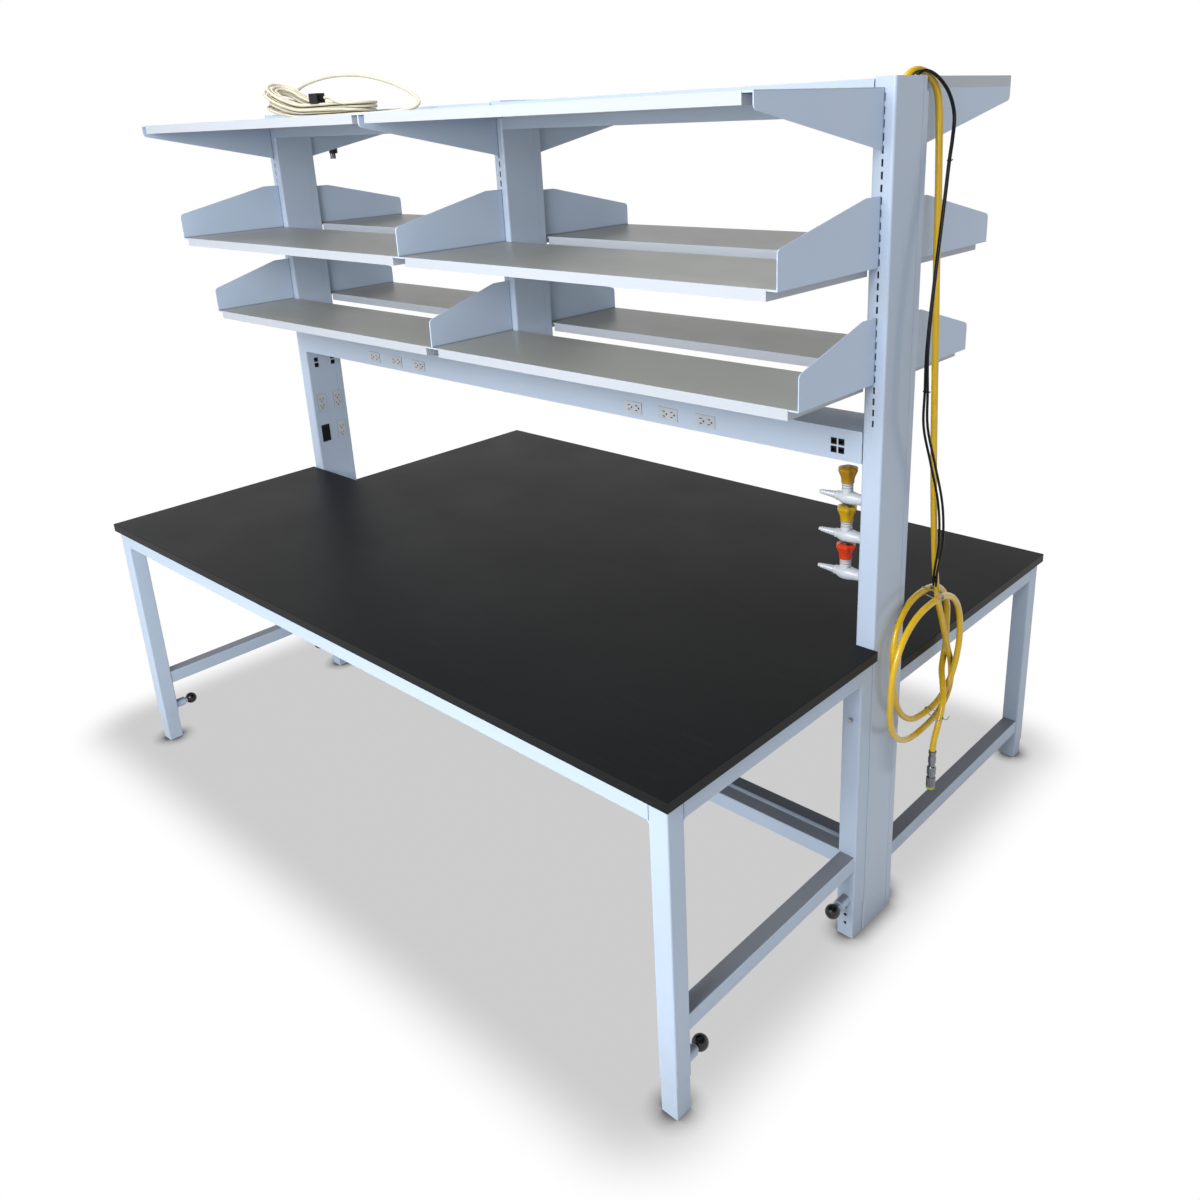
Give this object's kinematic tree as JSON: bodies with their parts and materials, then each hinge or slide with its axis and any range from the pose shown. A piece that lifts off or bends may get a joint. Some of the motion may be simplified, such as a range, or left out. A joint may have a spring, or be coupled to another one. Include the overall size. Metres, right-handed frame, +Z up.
{
  "type": "lab bench with reagent shelf",
  "caption": "Double-sided steel laboratory bench with black worktops, a slotted spine with a power raceway, service valves and reagent shelves, and adjustable feet.",
  "frame": {"origin": "centre of the bench's footprint, on the floor, measured without the hose and cords", "axes": "+X along the bench towards the end with the valves and hose, +Y from the front table to the rear table, +Z up"},
  "size_m": [2.533, 1.817, 2.1875],
  "materials": {
    "worktop": "black phenolic resin, satin",
    "frame": "pale blue-grey powder coat",
    "ball_knob": "black moulded ball",
    "bolt": "zinc plated",
    "column": "pale blue-grey powder coat",
    "shelf_sheet": "warm grey powder coat, satin",
    "plate": "pale blue-grey powder coat",
    "outlet": "pale moulded outlet",
    "black_plastic": "black moulded",
    "grommet": "black",
    "valve_white": "white epoxy coat, glossy",
    "knob_orange": "moulded orange",
    "knob_yellow": "moulded yellow",
    "knob_mustard": "moulded mustard",
    "hose": "yellow hose cover",
    "coupling": "bright plated",
    "wire_tie": "dark grey coated wire",
    "black_cable": "black jacket",
    "cream_cord": "cream jacket"
  },
  "bodies": {
    "bench": {"front_worktop": "worktop", "rear_worktop": "worktop", "front_legs": "frame", "front_aprons": "frame", "front_braces": "frame", "rear_legs": "frame", "rear_aprons": "frame", "rear_braces": "frame", "plunger_barrels": "frame", "frame_bolts": "bolt", "column_left": "column", "column_middle": "column", "column_right": "column", "column_caps": "column", "service_grommet": "grommet", "raceway": "column", "header_boxes": "column", "raceway_outlets": "outlet", "column_outlets": "outlet", "data_jacks": "black_plastic", "column_switch": "black_plastic", "top_decks_front": "shelf_sheet", "top_decks_rear": "shelf_sheet", "upper_decks_front": "shelf_sheet", "upper_decks_rear": "shelf_sheet", "lower_decks_front": "shelf_sheet", "lower_decks_rear": "shelf_sheet", "top_brackets_front": "plate", "top_brackets_rear": "plate", "upper_plates_front": "plate", "upper_plates_rear": "plate", "lower_plates_front": "plate", "lower_plates_rear": "plate", "valve_bodies": "valve_white", "hose_drop": "hose", "hose_coil": "hose", "hose_coupling": "coupling", "hose_ties": "wire_tie", "black_cables": "black_cable", "cable_ends": "black_cable", "cord_hank": "cream_cord", "cord_lead": "cream_cord", "cord_plug": "black_plastic", "cord_socket": "black_plastic"},
    "foot_front_left": {"foot_front_left": "frame"},
    "foot_front_right": {"foot_front_right": "frame"},
    "foot_front_inner_left": {"foot_front_inner_left": "frame"},
    "foot_front_inner_right": {"foot_front_inner_right": "frame"},
    "foot_rear_left": {"foot_rear_left": "frame"},
    "foot_rear_right": {"foot_rear_right": "frame"},
    "foot_rear_inner_left": {"foot_rear_inner_left": "frame"},
    "foot_rear_inner_right": {"foot_rear_inner_right": "frame"},
    "plunger_left": {"plunger_left": "ball_knob"},
    "plunger_right": {"plunger_right": "ball_knob"},
    "plunger_inner_left": {"plunger_inner_left": "ball_knob"},
    "plunger_inner_right": {"plunger_inner_right": "ball_knob"},
    "valve_knob_lower": {"valve_knob_lower": "knob_orange"},
    "valve_knob_middle": {"valve_knob_middle": "knob_yellow"},
    "valve_knob_upper": {"valve_knob_upper": "knob_mustard"}
  },
  "joints": [
    {"name": "foot_front_left_slide", "type": "slide", "parent": "bench", "child": "foot_front_left", "axis": [0, 0, -1], "range_m": [0, 0.1]},
    {"name": "foot_front_right_slide", "type": "slide", "parent": "bench", "child": "foot_front_right", "axis": [0, 0, -1], "range_m": [0, 0.1]},
    {"name": "foot_front_inner_left_slide", "type": "slide", "parent": "bench", "child": "foot_front_inner_left", "axis": [0, 0, -1], "range_m": [0, 0.1]},
    {"name": "foot_front_inner_right_slide", "type": "slide", "parent": "bench", "child": "foot_front_inner_right", "axis": [0, 0, -1], "range_m": [0, 0.1]},
    {"name": "foot_rear_left_slide", "type": "slide", "parent": "bench", "child": "foot_rear_left", "axis": [0, 0, -1], "range_m": [0, 0.1]},
    {"name": "foot_rear_right_slide", "type": "slide", "parent": "bench", "child": "foot_rear_right", "axis": [0, 0, -1], "range_m": [0, 0.1]},
    {"name": "foot_rear_inner_left_slide", "type": "slide", "parent": "bench", "child": "foot_rear_inner_left", "axis": [0, 0, -1], "range_m": [0, 0.1]},
    {"name": "foot_rear_inner_right_slide", "type": "slide", "parent": "bench", "child": "foot_rear_inner_right", "axis": [0, 0, -1], "range_m": [0, 0.1]},
    {"name": "plunger_left_pull", "type": "slide", "parent": "bench", "child": "plunger_left", "axis": [0, 1, 0], "range_m": [0, 0.008], "stiffness_N_per_m": 600, "springref_m": -0.004},
    {"name": "plunger_right_pull", "type": "slide", "parent": "bench", "child": "plunger_right", "axis": [0, 1, 0], "range_m": [0, 0.008], "stiffness_N_per_m": 600, "springref_m": -0.004},
    {"name": "plunger_inner_left_pull", "type": "slide", "parent": "bench", "child": "plunger_inner_left", "axis": [0, -1, 0], "range_m": [0, 0.008], "stiffness_N_per_m": 600, "springref_m": -0.004},
    {"name": "plunger_inner_right_pull", "type": "slide", "parent": "bench", "child": "plunger_inner_right", "axis": [0, -1, 0], "range_m": [0, 0.008], "stiffness_N_per_m": 600, "springref_m": -0.004},
    {"name": "valve_knob_lower_turn", "type": "hinge", "parent": "bench", "child": "valve_knob_lower", "pos_m": [1.11, -0.096, 1.022], "axis": [0, 0, 1], "range_deg": [0, 270]},
    {"name": "valve_knob_middle_turn", "type": "hinge", "parent": "bench", "child": "valve_knob_middle", "pos_m": [1.11, -0.096, 1.118], "axis": [0, 0, 1], "range_deg": [0, 270]},
    {"name": "valve_knob_upper_turn", "type": "hinge", "parent": "bench", "child": "valve_knob_upper", "pos_m": [1.11, -0.096, 1.214], "axis": [0, 0, 1], "range_deg": [0, 270]}
  ]
}
